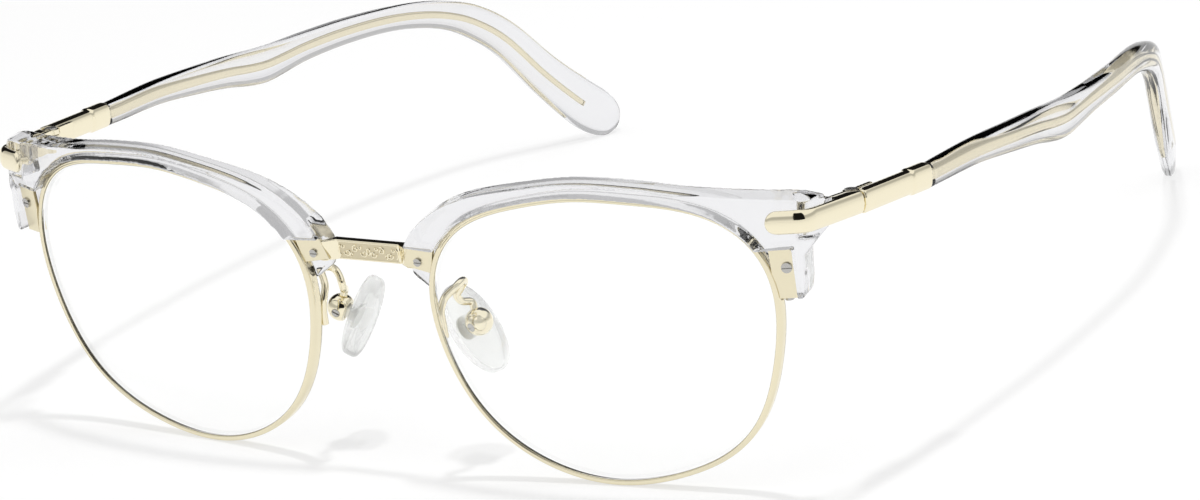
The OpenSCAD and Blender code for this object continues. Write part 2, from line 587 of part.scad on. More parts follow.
// A bore of the given length along y, its middle at y
module bore_y(r, len, y) translate([0, y, 0]) rotate([90, 0, 0]) cylinder(r = r, h = len, center = true);
module pad_screw() color(steel) at_pad() translate([0, -box_r + 0.4, 0])
    screw(pad_screw_r, 2 * box_r - 0.8, pad_head_r, 0.3);
module pad_stem() color(steel) at_pad() difference() {
    union() {
        bore_y(stem_r, stem_t, 0);
        translate([pad_x + 0.3, -stem_t / 2, -stem_r]) cube([-pad_x - 0.3, stem_t, 2 * stem_r]);
        translate([pad_x + 0.1, 0, 0]) rotate([0, 90, 0]) cylinder(r = 1.8, h = 0.4);
    }
    bore_y(pad_screw_r + hinge_run, 6, 0);
}
pad_round = 24;
module nose_pad() color("#eef2ec99") difference() {
    at_pad() translate([pad_x, pad_off[0], pad_off[1]]) intersection() {
        translate([-3, 0, 0]) rotate([0, 90, 0]) linear_extrude(6) polygon([for (i = [0 : 47])
            let (a = 7.5 * i) [pad_len / 2 * cos(a) * (1 + 0.04 * cos(2 * a)), pad_w / 2 * sin(a)]]);
        translate([pad_round - pad_t / 2, 0, 0]) sphere(r = pad_round, $fn = 160);
        translate([pad_t / 2 - pad_round, 0, 0]) sphere(r = pad_round, $fn = 160);
    }
    at_pad() translate([pad_x + 0.1 - seat, 0, 0]) rotate([0, 90, 0]) cylinder(r = 1.8 + seat, h = 0.44);
    at_pad() translate([pad_x + 0.3, -stem_t / 2 - seat, -stem_r - seat])
        cube([3, stem_t + 2 * seat, 2 * stem_r + 2 * seat]);
}

left() bridge();
left() rim();  // rim_left
right() rim();  // rim_right
left() lens();  // lens_left
right() lens();  // lens_right
left() brow();  // brow_left
right() brow();  // brow_right
left() nasal_plate();  // nasal_plate_left
right() nasal_plate();  // nasal_plate_right
left() lock_plate();  // lock_plate_left
right() lock_plate();  // lock_plate_right
left() nasal_screw();  // nasal_screw_left
right() nasal_screw();  // nasal_screw_right
left() lock_screw();  // lock_screw_left
right() lock_screw();  // lock_screw_right
left() rim_block(split_z + fit, plate_t);  // rim_block_upper_left
right() rim_block(split_z + fit, plate_t);  // rim_block_upper_right
left() rim_block(split_z - fit - block_h, plate_t + fit);  // rim_block_lower_left
right() rim_block(split_z - fit - block_h, plate_t + fit);  // rim_block_lower_right
left() rim_screw();  // rim_screw_left
right() rim_screw();  // rim_screw_right
left() cap();  // cap_left
right() cap();  // cap_right
left() cap_pins();  // cap_pins_left
right() cap_pins();  // cap_pins_right
left() front_hinge();  // front_hinge_left
right() front_hinge();  // front_hinge_right
left() hinge_screw();  // hinge_screw_left
right() hinge_screw();  // hinge_screw_right
left() pad_arm();  // pad_arm_left
right() pad_arm();  // pad_arm_right
left() pad_box();  // pad_box_left
right() pad_box();  // pad_box_right
left() pad_screw();  // pad_screw_left
right() pad_screw();  // pad_screw_right
left() pad_stem();  // pad_stem_left
right() pad_stem();  // pad_stem_right
left() nose_pad();  // nose_pad_left
right() nose_pad();  // nose_pad_right
left() temple_bar();  // temple_bar_left
right() temple_bar();  // temple_bar_right
left() temple_hinge();  // temple_hinge_left
right() temple_hinge();  // temple_hinge_right
left() temple_core();  // temple_core_left
right() temple_core();  // temple_core_right
left() temple();  // temple_left
right() temple();  // temple_right
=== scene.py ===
# %% [markdown]
# # Browline glasses in clear acetate and champagne gold
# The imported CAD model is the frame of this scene: it fixes every size and every hinge.
# Blender adds what a solid model can't show: rounded, polished edges, the bend of light through
# clear plastic, the engraving on the bridge, and the finish of each metal.

# %% Load the CAD frame
import bpy, bmesh, math
from mathutils import Matrix, Vector


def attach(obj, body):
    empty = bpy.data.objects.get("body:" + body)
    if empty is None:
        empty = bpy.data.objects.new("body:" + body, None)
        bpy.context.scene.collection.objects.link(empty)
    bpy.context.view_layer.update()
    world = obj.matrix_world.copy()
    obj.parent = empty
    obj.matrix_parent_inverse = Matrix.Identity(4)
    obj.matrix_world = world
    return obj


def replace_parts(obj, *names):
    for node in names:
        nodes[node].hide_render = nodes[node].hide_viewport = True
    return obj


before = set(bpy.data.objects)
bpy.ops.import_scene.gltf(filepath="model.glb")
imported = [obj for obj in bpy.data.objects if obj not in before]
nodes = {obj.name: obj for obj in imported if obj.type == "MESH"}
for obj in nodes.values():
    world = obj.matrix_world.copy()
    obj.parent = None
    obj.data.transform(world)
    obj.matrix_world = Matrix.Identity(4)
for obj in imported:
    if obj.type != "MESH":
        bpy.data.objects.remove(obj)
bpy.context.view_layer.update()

# %% [markdown]
# ## Where things are
# The CAD model is easiest to read in the front's own axes: X to the wearer's left, Y towards
# the ears, Z up, in millimetres, with the lens centres at height 0. The glasses lean forward a little
# when they stand on their rims and temple tips, so one small function turns such a point into the
# row's axes, in metres. The same numbers are in the CAD source.

# %% From the front's millimetres to the row's metres
MM = 0.001
LEAN, MID_Y, FLOOR_Z = math.radians(5.63508), 72.9871, -21.5154
LENS_W, LENS_H, BRIDGE_W = 51.0, 42.0, 21.5
WRAP, DROP, SPLAY = math.radians(7), math.radians(11), math.radians(4.5)
BASE_R = 95.0
HINGE = Vector((67.3905, 20.5811, 15.4642))
LENS_X = 36.4848


def to_row(p, side=1):
    """A point of the left half, in the front's millimetres, as a row point on either side."""
    x, y, z = p
    return Vector((side * x, y * math.cos(LEAN) - z * math.sin(LEAN) - MID_Y,
                   y * math.sin(LEAN) + z * math.cos(LEAN) - FLOOR_Z)) * MM


def from_lens(x, y, z):
    """From the left lens's own axes to the front's."""
    return (LENS_X + x * math.cos(WRAP) - y * math.sin(WRAP),
            x * math.sin(WRAP) + y * math.cos(WRAP), z)


def from_hinge(x, y, z):
    """From the left temple's axes, y along the temple, to the front's."""
    along = y * math.cos(SPLAY) - x * math.sin(SPLAY)
    return (HINGE.x + x * math.cos(SPLAY) + y * math.sin(SPLAY),
            HINGE.y + along * math.cos(DROP) + z * math.sin(DROP),
            HINGE.z + z * math.cos(DROP) - along * math.sin(DROP))


print("left hinge at", [round(c, 4) for c in to_row(HINGE)])

# %% [markdown]
# ## The camera
# The glasses are seen from the front left of the wearer, a little above, with a long lens, as for a
# shop picture. The camera comes first, so that every later choice can be judged through it. Its place
# and its three axes were found by matching the outlines of the rims, brows and temples.

# %% Camera
camera_data = bpy.data.cameras.new("camera")
camera_data.sensor_width = 36.0
camera_data.lens = 155.88
camera_data.clip_end = 20.0
camera = bpy.data.objects.new("camera", camera_data)
bpy.context.scene.collection.objects.link(camera)
right = Vector((0.85100428, 0.5133123, -0.11091532))
up = Vector((-0.0727984, 0.32447088, 0.94309015))
ahead = Vector((-0.52008856, 0.7944993, -0.31349442))
turn = Matrix((right, up, -ahead)).transposed().to_4x4()
camera.matrix_world = Matrix.Translation(Vector((0.40157799, -0.62714987, 0.25490139))) @ turn
bpy.context.scene.camera = camera
print("camera", [round(c, 3) for c in camera.location])

# %% [markdown]
# ## Helpers
# Most pieces here are lofts: rings of points along a path, joined by quads. A wire, a temple
# and a rim differ only in their rings. Each ring starts as a circle from bmesh and is then bent to its
# place, and bridge_loops lays the faces between neighbours.

# %% Loft
def new_piece(name, mesh):
    piece = bpy.data.objects.new(name, mesh)
    bpy.context.scene.collection.objects.link(piece)
    return piece


def loft(name, rings, closed=False):
    """Joins rings of points, each in the same order, into one smooth skin."""
    bm = bmesh.new()
    count = len(rings[0])
    loops = []
    for ring in rings:
        made = bmesh.ops.create_circle(bm, segments=count, radius=1.0)["verts"]
        for vert, place in zip(made, ring):
            vert.co = place
        loops.append(made)
    bm.verts.index_update()

    def edges(loop):
        return [bm.edges.get((loop[i], loop[(i + 1) % count])) for i in range(count)]

    loop_edges = [edges(loop) for loop in loops]
    pairs = list(zip(loop_edges, loop_edges[1:]))
    if closed:
        pairs.append((loop_edges[-1], loop_edges[0]))
    for a, b in pairs:
        bmesh.ops.bridge_loops(bm, edges=a + b)
    if not closed:
        for loop in (loops[0], loops[-1]):
            bmesh.ops.contextual_create(bm, geom=loop)
    bmesh.ops.recalc_face_normals(bm, faces=bm.faces)
    mesh = bpy.data.meshes.new(name)
    bm.to_mesh(mesh)
    bm.free()
    mesh.shade_smooth()
    return new_piece(name, mesh)


def curve_through(points, steps):
    """A smooth open curve through points of any dimension, with steps between neighbours."""
    out = []
    last = len(points) - 1
    for i in range(last):
        p0, p1, p2, p3 = (points[max(i - 1, 0)], points[i], points[i + 1], points[min(i + 2, last)])
        for k in range(steps):
            t = k / steps
            out.append([0.5 * (2 * b + (c - a) * t + (2 * a - 5 * b + 4 * c - d) * t * t
                               + (3 * b - a - 3 * c + d) * t ** 3)
                        for a, b, c, d in zip(p0, p1, p2, p3)])
    return out + [list(points[last])]


def power(c, e):
    return math.copysign(abs(c) ** e, c) if c else 0.0


# %% [markdown]
# Other pieces keep the CAD shape and only need its edges rounded, as tumbling and polishing round
# them. A merged copy of the CAD mesh is remeshed finely and smoothed, which rounds every edge by about
# the same small radius, whatever its angle.

# %% Polished copy of a CAD node
def finished(piece):
    """Bakes a piece's modifiers into its mesh."""
    graph = bpy.context.evaluated_depsgraph_get()
    mesh = bpy.data.meshes.new_from_object(piece.evaluated_get(graph))
    piece.modifiers.clear()
    piece.data = mesh
    return piece


def polished(name, node, voxel, rounds):
    """A rounded copy of a CAD node. The voxel is in millimetres; more rounds give a larger radius."""
    bm = bmesh.new()
    bm.from_mesh(nodes[node].data)
    bmesh.ops.remove_doubles(bm, verts=bm.verts, dist=1e-6)
    mesh = bpy.data.meshes.new(name)
    bm.to_mesh(mesh)
    bm.free()
    piece = new_piece(name, mesh)
    remesh = piece.modifiers.new("fine skin", "REMESH")
    remesh.mode = "VOXEL"
    remesh.voxel_size = voxel * MM
    remesh.use_smooth_shade = True
    smooth = piece.modifiers.new("tumbled edges", "SMOOTH")
    smooth.factor = 0.5
    smooth.iterations = rounds
    finished(piece)
    piece.data.shade_smooth()
    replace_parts(piece, node)
    return piece


# %% [markdown]
# ## Finishes
# Polished champagne plate is nearly a mirror, so its look comes from what it reflects. The
# fine unevenness of hand polishing is one node group, which every metal uses with its own strength.

# %% Node group: polishing marks
def polish_marks_group():
    group = bpy.data.node_groups.new("polishing marks", "ShaderNodeTree")
    face = group.interface
    for label, default in (("Scale", 900.0), ("Base Roughness", 0.1), ("Spread", 0.04),
                           ("Stretch", 1.0)):
        socket = face.new_socket(label, in_out="INPUT", socket_type="NodeSocketFloat")
        socket.default_value = default
    face.new_socket("Roughness", in_out="OUTPUT", socket_type="NodeSocketFloat")
    face.new_socket("Height", in_out="OUTPUT", socket_type="NodeSocketFloat")
    n, link = group.nodes, group.links.new
    inp, out = n.new("NodeGroupInput"), n.new("NodeGroupOutput")
    coord = n.new("ShaderNodeTexCoord")
    stretch = n.new("ShaderNodeCombineXYZ")
    stretch.inputs["X"].default_value = 1.0
    stretch.inputs["Y"].default_value = 1.0
    scaled = n.new("ShaderNodeVectorMath")
    scaled.operation = "MULTIPLY"
    noise = n.new("ShaderNodeTexNoise")
    noise.inputs["Detail"].default_value = 3.0
    spread = n.new("ShaderNodeMath")
    spread.operation = "MULTIPLY_ADD"
    link(inp.outputs["Stretch"], stretch.inputs["Z"])
    link(coord.outputs["Object"], scaled.inputs[0])
    link(stretch.outputs["Vector"], scaled.inputs[1])
    link(scaled.outputs["Vector"], noise.inputs["Vector"])
    link(inp.outputs["Scale"], noise.inputs["Scale"])
    link(noise.outputs["Fac"], spread.inputs[0])
    link(inp.outputs["Spread"], spread.inputs[1])
    link(inp.outputs["Base Roughness"], spread.inputs[2])
    link(spread.outputs["Value"], out.inputs["Roughness"])
    link(noise.outputs["Fac"], out.inputs["Height"])
    return group


polish_marks = polish_marks_group()
print("node group", polish_marks.name)

# %% [markdown]
# The caps and bars are mirror polished, the plates are satin, and the rim wire keeps a faint drawn grain.
# The engraved ground is darker and rougher, so that the raised scrolls stand out from it. The stem inside
# each pad is steel painted paler than it is, standing in for the light that the silicone scatters over it.

# %% Metals
def principled(name):
    material = bpy.data.materials.new(name)
    material.use_nodes = True
    return material, material.node_tree.nodes["Principled BSDF"], material.node_tree


def metal(name, colour, roughness, spread, scale, bump, stretch=1.0):
    material, shader, tree = principled(name)
    shader.inputs["Metallic"].default_value = 1.0
    shader.inputs["Base Color"].default_value = (*colour, 1.0)
    marks = tree.nodes.new("ShaderNodeGroup")
    marks.node_tree = polish_marks
    marks.inputs["Base Roughness"].default_value = roughness
    marks.inputs["Spread"].default_value = spread
    marks.inputs["Scale"].default_value = scale
    marks.inputs["Stretch"].default_value = stretch
    tree.links.new(marks.outputs["Roughness"], shader.inputs["Roughness"])
    if bump:
        bumps = tree.nodes.new("ShaderNodeBump")
        bumps.inputs["Strength"].default_value = bump
        bumps.inputs["Distance"].default_value = 0.02 * MM
        tree.links.new(marks.outputs["Height"], bumps.inputs["Height"])
        tree.links.new(bumps.outputs["Normal"], shader.inputs["Normal"])
    return material


polished_gold = metal("polished champagne gold", (0.90, 0.83, 0.63), 0.03, 0.04, 900.0, 0.0)
satin_gold = metal("satin champagne gold", (0.84, 0.77, 0.57), 0.28, 0.10, 6000.0, 0.25)
rim_gold = metal("drawn rim wire", (0.84, 0.77, 0.57), 0.14, 0.10, 2500.0, 0.10)
engraved_gold = metal("engraved champagne gold", (0.66, 0.59, 0.42), 0.28, 0.15, 5000.0, 0.5)
screw_steel = metal("turned screw steel", (0.50, 0.49, 0.47), 0.22, 0.10, 5000.0, 0.15)
# Painted light: the stem's pale colour stands in for the light that the silicone scatters over it
stem_steel_painted_pale = metal("stem steel painted pale", (0.93, 0.93, 0.91), 0.35, 0.10, 5000.0, 0.0)
print("six metals")

# %% [markdown]
# Clear acetate, the demonstration lens and silicone are one family: light passes through, and what
# differs is how strongly they bend it and how smooth the skin is. A real clear frame throws only a pale
# shadow, because it focuses light instead of stopping it. A path tracer without caustics would make that
# shadow dark, so shadow rays meet a lower alpha. Silicone scatters some of its light and lets some pass
# straight on, so it transmits less and its alpha is also below 1 for other rays.

# %% Clear materials
def clear(name, colour, ior, roughness, shadow, transmission=1.0, seen=1.0):
    """shadow is the alpha that shadow rays meet, and seen the alpha that every other ray meets."""
    material, shader, tree = principled(name)
    shader.inputs["Base Color"].default_value = (*colour, 1.0)
    shader.inputs["Transmission Weight"].default_value = transmission
    shader.inputs["IOR"].default_value = ior
    marks = tree.nodes.new("ShaderNodeGroup")
    marks.node_tree = polish_marks
    marks.inputs["Base Roughness"].default_value = roughness
    marks.inputs["Spread"].default_value = roughness * 0.5 + 0.004
    marks.inputs["Scale"].default_value = 700.0
    tree.links.new(marks.outputs["Roughness"], shader.inputs["Roughness"])
    path = tree.nodes.new("ShaderNodeLightPath")
    alpha = tree.nodes.new("ShaderNodeMath")
    alpha.operation = "MULTIPLY_ADD"
    alpha.inputs[1].default_value = shadow - seen
    alpha.inputs[2].default_value = seen
    tree.links.new(path.outputs["Is Shadow Ray"], alpha.inputs[0])
    tree.links.new(alpha.outputs["Value"], shader.inputs["Alpha"])
    return material


clear_acetate = clear("clear acetate", (0.86, 0.86, 0.875), 1.48, 0.0, 0.25)
demo_lens = clear("clear lens", (0.998, 1.0, 0.998), 1.46, 0.0, 0.02)
silicone = clear("clear silicone", (0.97, 0.985, 0.965), 1.41, 0.05, 0.35, 0.75, 0.6)
print("three clear materials")

# %% [markdown]
# ## Lens opening
# Everything on the front follows the outline of the lens, which is a rounded panto shape. The CAD source
# gives its radius as a sum of a few waves round the clock, and the same sum is used here with more steps,
# so that the polished rim shows no facets.

# %% Outline of the lens opening
def lens_radius(a):
    return (23.4 + 0.5 * math.cos(a) + 2.3 * math.cos(2 * a) + 0.3 * math.sin(2 * a) + math.sin(3 * a)
            - 0.35 * math.cos(4 * a) + 0.25 * math.sin(5 * a) - 0.15 * math.cos(5 * a)
            - 0.25 * math.cos(6 * a))


STEPS = 240
raw = [Vector((lens_radius(a) * math.cos(a), lens_radius(a) * math.sin(a)))
       for a in (2 * math.pi * i / STEPS for i in range(STEPS))]
lo = Vector((min(p.x for p in raw), min(p.y for p in raw)))
hi = Vector((max(p.x for p in raw), max(p.y for p in raw)))
middle, spread_by = (lo + hi) / 2, Vector((LENS_W / (hi.x - lo.x), LENS_H / (hi.y - lo.y)))
opening = [Vector(((p.x - middle.x) * spread_by.x, (p.y - middle.y) * spread_by.y)) for p in raw]


def grow(outline, d):
    """The outline moved outwards by d."""
    out = []
    for i, p in enumerate(outline):
        s = outline[(i + 1) % STEPS] - outline[i - 1]
        out.append(p + d * Vector((s.y, -s.x)).normalized())
    return out


def on_shell(p, depth, side):
    """A point of the outline on the lens curve, this far behind the rim's front face."""
    r = BASE_R - depth
    return to_row(from_lens(p.x, BASE_R - math.sqrt(r * r - p.length_squared), p.y), side)


print("lens opening", round(hi.x - lo.x, 1), "by", round(hi.y - lo.y, 1), "mm before scaling")

# %% [markdown]
# ## Rims
# A rim is one drawn wire, bent round its lens, with softly rounded corners and a groove inside for the
# lens. Its section is lofted once round the opening.

# %% Rims
# Points of the wire's section: distance outside the opening, and depth behind the front face
RIM_SECTION = [(0.02, 0.16), (0.16, 0.02), (0.34, 0.0), (0.42, 0.05), (0.50, 0.0), (0.69, 0.02),
               (0.83, 0.16), (0.85, 0.5), (0.85, 1.2), (0.83, 1.54), (0.69, 1.68), (0.42, 1.70),
               (0.16, 1.68), (0.02, 1.54), (0.0, 1.3), (0.36, 0.95), (0.36, 0.78), (0.0, 0.45)]


def rim(name, side):
    grown = {d: grow(opening, d) for d in {q[0] for q in RIM_SECTION}}
    rings = []
    for i in range(STEPS):
        rings.append([on_shell(grown[d][i], depth, side) for d, depth in RIM_SECTION])
    piece = loft(name, rings, closed=True)
    piece.data.materials.append(rim_gold)
    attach(piece, "front")
    return piece


for side, word in ((1, "left"), (-1, "right")):
    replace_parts(rim("rim_wire_" + word, side), "rim_" + word)
print("two rims,", len(RIM_SECTION), "points round the wire")

# %% [markdown]
# ## Lenses
# The demonstration lenses are thin curved shells. Each is lofted from a small ring at the middle of its
# front, out to the bevel in the rim's groove, and back in along the rear. Two rings lie close together
# at the edge, so that the smooth shading of the bevel doesn't spread over the clear part.

# %% Lenses
LENS_FRONT, LENS_BEVEL, LENS_BACK = 0.25, 0.87, 1.45
LENS_SHARES = (0.02, 0.2, 0.4, 0.6, 0.8, 0.93, 0.99, 1.0)


def lens(name, side):
    edge, bevel = grow(opening, -0.05)[::2], grow(opening, 0.33)[::2]
    rings = [[on_shell(p * share, LENS_FRONT, side) for p in edge] for share in LENS_SHARES]
    rings.append([on_shell(p, LENS_BEVEL, side) for p in bevel])
    rings += [[on_shell(p * share, LENS_BACK, side) for p in edge] for share in reversed(LENS_SHARES)]
    piece = loft(name, rings)
    piece.data.materials.append(demo_lens)
    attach(piece, "front")
    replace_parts(piece, "lens_" + name.split("_")[-1])


for side, word in ((1, "left"), (-1, "right")):
    lens("lens_shell_" + word, side)
print("two lenses")

# %% [markdown]
# ## Brows
# The brows are cut from thick clear acetate sheet and tumbled for days, so no edge is sharp. The CAD
# shape already has the plates' seats, the screw holes and the block at the temple end, and the polished
# copy rounds them.

# %% Brows
for word in ("left", "right"):
    piece = polished("clear_brow_" + word, "brow_" + word, 0.12, 40)
    piece.data.materials.append(clear_acetate)
    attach(piece, "front")
    print(piece.name, len(piece.data.polygons), "faces")

# %% [markdown]
# ## Polished metal on the front
# The caps, the bridge, the plates, the hinges and the pad boxes keep their CAD shapes with rounded
# edges. Small screws stay as they are and only get their finish.

# %% Caps, bridge, plates, hinges and boxes
for word in ("left", "right"):
    for part, voxel, rounds, finish in (
            ("cap", 0.1, 80, polished_gold), ("nasal_plate", 0.06, 6, satin_gold),
            ("lock_plate", 0.06, 6, satin_gold), ("front_hinge", 0.07, 6, polished_gold),
            ("rim_block_upper", 0.07, 5, polished_gold), ("rim_block_lower", 0.07, 5, polished_gold),
            ("pad_box", 0.05, 5, polished_gold)):
        piece = polished(f"{part}_skin_{word}", f"{part}_{word}", voxel, rounds)
        piece.data.materials.append(finish)
        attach(piece, "front")
    for part, voxel, rounds in (("temple_bar", 0.1, 40), ("temple_hinge", 0.07, 6)):
        piece = polished(f"{part}_skin_{word}", f"{part}_{word}", voxel, rounds)
        piece.data.materials.append(polished_gold)
        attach(piece, "temple_arm_" + word)
bridge = polished("bridge_skin", "bridge", 0.07, 8)
bridge.data.materials.append(polished_gold)
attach(bridge, "front")
print("rounded metal pieces, the bridge last")

# %% [markdown]
# ## Screws and pins
# The small turned pieces keep their CAD meshes. Their materials go into the slots that the CAD objects
# already have.

# %% Finish the small CAD nodes
def dress(node, finish):
    slots = nodes[node].data.materials
    if len(slots):
        for i in range(len(slots)):
            slots[i] = finish
    else:
        slots.append(finish)


for word in ("left", "right"):
    for part in ("nasal_screw", "lock_screw", "rim_screw", "hinge_screw", "pad_screw"):
        dress(f"{part}_{word}", screw_steel)
    dress("cap_pins_" + word, polished_gold)
    dress("pad_stem_" + word, stem_steel_painted_pale)

# %% [markdown]
# ## Engraved bridge
# The front of the bridge bar carries a traditional scroll ornament, as on old gold-filled frames. It is
# raised relief: round wires laid along spirals and arcs, sunk half into the face, between two straight
# border lines.

# %% Scrolls on the bridge
BRIDGE_FACE, BRIDGE_Z = 2.2, 10.9
bridge.data.materials.append(engraved_gold)
for face in bridge.data.polygons:
    x, z = face.center.x / MM, (face.center - to_row((0, BRIDGE_FACE, BRIDGE_Z))).z / MM
    if abs(x) < 4.9 and abs(z) < 1.2 and face.normal.y < -0.9:
        face.material_index = 1


def relief(name, lines, width):
    """Raises thin round lines on the bridge's face. Points are (x, z) in millimetres."""
    data = bpy.data.curves.new(name, "CURVE")
    data.dimensions = "3D"
    data.bevel_depth = width * MM
    data.bevel_resolution = 2
    data.use_fill_caps = True
    for line in lines:
        spline = data.splines.new("POLY")
        spline.points.add(len(line) - 1)
        for point, (x, z) in zip(spline.points, line):
            point.co = (*to_row((x, BRIDGE_FACE, z)), 1.0)
    curve = new_piece(name, data)
    graph = bpy.context.evaluated_depsgraph_get()
    mesh = bpy.data.meshes.new_from_object(curve.evaluated_get(graph))
    bpy.data.objects.remove(curve)
    mesh.shade_smooth()
    mesh.materials.clear()
    mesh.materials.append(polished_gold)
    return new_piece(name, mesh)


def scroll(cx, cz, size, turns, start, hand):
    """A spiral that opens from its eye."""
    steps = 22
    out = []
    for k in range(steps + 1):
        grown, angle = 0.12 + 0.88 * k / steps, start + 2 * math.pi * turns * k / steps
        out.append((cx + hand * size * grown * math.cos(angle), cz + size * grown * math.sin(angle)))
    return out


lines = []
for hand in (1, -1):
    for k, cx in enumerate((0.75, 2.15, 3.55)):
        flip = 1 if k % 2 else -1
        lines.append(scroll(hand * cx, BRIDGE_Z + 0.28 * flip, 0.62, 1.15, flip * 0.9, hand))
        lines.append(scroll(hand * (cx + 0.72), BRIDGE_Z - 0.55 * flip, 0.34, 0.9, -flip * 1.2, -hand))
    lines.append([(hand * 4.6 + hand * 0.35 * math.cos(t), BRIDGE_Z + 0.75 * math.sin(t))
                  for t in [i * math.pi / 8 - math.pi / 2 for i in range(9)]])
lines.append([(0.28 * math.cos(t), BRIDGE_Z + 0.5 * math.sin(t))
              for t in [i * math.pi / 8 for i in range(17)]])
scrolls = relief("bridge_scrolls", lines, 0.13)
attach(scrolls, "front")
border_lines = [[(-5.0, BRIDGE_Z + s * 1.28), (5.0, BRIDGE_Z + s * 1.28)] for s in (1, -1)]
border = relief("bridge_border", border_lines, 0.11)
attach(border, "front")
print(len(lines), "relief lines")

# %% [markdown]
# ## Temples
# Each temple is a long clear paddle with rounded edges, thickened where it passes the ear's front
# and bent down behind it. Its rings follow the rows of the CAD source: distance along the temple, height of
# the middle line, height of the section, sideways place and thickness.

# %% Temple rows and sections
COLLAR_X, INNER_H, INNER_T = 1.275, 3.0, 1.95
COLLAR_ENDS = (12.65, 16.35)
ROWS = [(16.7, -0.1, 3.45, 1.275, 2.5), (20.3, 0.05, 3.6, 1.025, 2.65), (30, 0.4, 3.8, 0.55, 3),
        (40, 0.1, 4.4, -0.1, 3.1), (48, -0.3, 5, -0.9, 3.2), (54, -0.85, 5.7, -1.6, 3.2),
        (58, -1, 5.8, -2.1, 3.2), (62, -0.7, 5.3, -2.7, 3.2), (68, -0.15, 4.6, -3.6, 3.2),
        (77, 0.3, 4.2, -5.4, 3.2), (86, 0.4, 4, -7.9, 3.2), (93, -0.1, 4.3, -10.2, 3.2),
        (99, -1.3, 4.8, -12.3, 3.2), (104, -3.3, 5.6, -14.4, 3.1), (109.5, -7.2, 6.1, -17, 3.1),
        (116.5, -14.6, 6.9, -20.2, 3), (122.5, -20.2, 7.8, -23, 2.9), (126, -23, 7.6, -24.8, 2.6),
        (128.3, -24.8, 5.4, -26, 2), (129.2, -25.5, 2, -26.5, 1)]
temple_line = curve_through(ROWS, 6)


def section(before, at, after, height, thick, steps, round_by):
    """A closed section across a path, as points of the temple's own axes."""
    along = (after - before).normalized()
    out = Vector((along.y, -along.x, 0)).normalized()
    over = out.cross(along)
    return [at + out * (thick / 2 * power(math.cos(w), round_by))
            + over * (height / 2 * power(math.sin(w), round_by))
            for w in (2 * math.pi * (k + 0.5) / steps for k in range(steps))]


def line_point(i):
    row = temple_line[max(0, min(i, len(temple_line) - 1))]
    return Vector((row[3], row[0], row[1]))


def temple_rings(sizes, start, stop, steps, round_by, side):
    """Rings along the temple's line. sizes(i) gives the height and thickness at station i."""
    rings = []
    for i in range(start, stop):
        height, thick = sizes(i)
        ring = section(line_point(i - 1), line_point(i), line_point(i + 1),
                       height, thick, steps, round_by)
        rings.append([to_row(from_hinge(*p), side) for p in ring])
    return rings


def plug(y, height, thick, steps, round_by, side):
    """A straight ring inside the metal collar, y along the temple."""
    ring = section(Vector((COLLAR_X, y - 1, 0)), Vector((COLLAR_X, y, 0)), Vector((COLLAR_X, y + 1, 0)),
                   height, thick, steps, round_by)
    return [to_row(from_hinge(*p), side) for p in ring]


print(len(temple_line), "stations along a temple")

# %% [markdown]
# The clear part starts as a smaller plug inside the collar, where it is glued, and swells just behind it.

# %% Clear temples
TEMPLE_STEPS, TEMPLE_ROUND = 28, 0.75
for side, word in ((1, "left"), (-1, "right")):
    rings = [plug(y, INNER_H, INNER_T, TEMPLE_STEPS, TEMPLE_ROUND, side) for y in COLLAR_ENDS]
    rings += temple_rings(lambda i: (temple_line[i][2], temple_line[i][4]), 0, len(temple_line),
                          TEMPLE_STEPS, TEMPLE_ROUND, side)
    piece = loft("clear_temple_" + word, rings)
    piece.data.materials.append(clear_acetate)
    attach(piece, "temple_arm_" + word)
    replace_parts(piece, "temple_" + word)
print("two clear temples")

# %% [markdown]
# The gold line inside each temple is its metal core, shot into the warm acetate. It is a flat strip at the
# collar and narrows towards the tip.

# %% Temple cores
CORE_LAST = len(temple_line) - 17
CORE_H, CORE_T, CORE_TAPER = 1.4, 0.7, 0.5
CORE_STEPS, CORE_ROUND = 16, 0.5
for side, word in ((1, "left"), (-1, "right")):
    rings = [plug(COLLAR_ENDS[0], CORE_H, CORE_T, CORE_STEPS, CORE_ROUND, side)]
    rings += temple_rings(lambda i: (CORE_H - CORE_TAPER * i / CORE_LAST, CORE_T), 3, CORE_LAST,
                          CORE_STEPS, CORE_ROUND, side)
    piece = loft("core_strip_" + word, rings)
    piece.data.materials.append(polished_gold)
    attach(piece, "temple_arm_" + word)
    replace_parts(piece, "temple_core_" + word)
print("two cores")

# %% [markdown]
# ## Pad arms
# A pad arm is a bent wire: soldered behind the rim, it loops back over and down to the box that holds
# the pad, so that an optician can bend it to fit.

